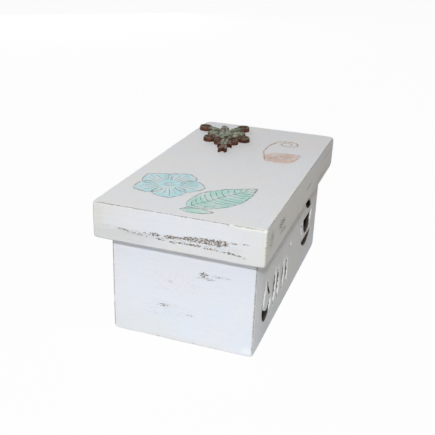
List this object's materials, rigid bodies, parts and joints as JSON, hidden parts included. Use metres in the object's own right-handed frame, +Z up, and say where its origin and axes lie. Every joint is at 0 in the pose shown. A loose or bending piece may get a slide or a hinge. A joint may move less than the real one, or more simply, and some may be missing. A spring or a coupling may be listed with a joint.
{
  "type": "tea bag organizer box",
  "caption": "Painted board box with three pockets for tea bags, a pierced long side and a deep lift-off lid with a cast corner ornament.",
  "frame": {"origin": "centre of the base, on the surface that the box stands on", "axes": "+Z up, +Y from the front end to the back end, +X to the side with the cut-outs"},
  "size_m": [0.11, 0.204, 0.098],
  "materials": {
    "box_paint": "off-white chalk paint on board, brushed on and rubbed through to the brown undercoat along edges",
    "lid_paint": "off-white chalk paint on board, rubbed through in streaks, with thin washes of blue, green and pink drawn over in brown",
    "ornament": "cast resin, dark copper brown with a dry verdigris green on its high places"
  },
  "bodies": {
    "box": {"front_end_board": "box_paint", "back_end_board": "box_paint", "left_side_board": "box_paint", "right_side_board": "box_paint", "base_board": "box_paint", "front_divider": "box_paint", "rear_divider": "box_paint"},
    "lid": {"lid_top_board": "lid_paint", "lid_front_rail": "lid_paint", "lid_rear_rail": "lid_paint", "lid_left_rail": "lid_paint", "lid_right_rail": "lid_paint", "lid_ornament": "ornament"}
  },
  "joints": [
    {"name": "lid_lift", "type": "slide", "parent": "box", "child": "lid", "axis": [0, 0, 1], "range_m": [0, 0.15]}
  ]
}
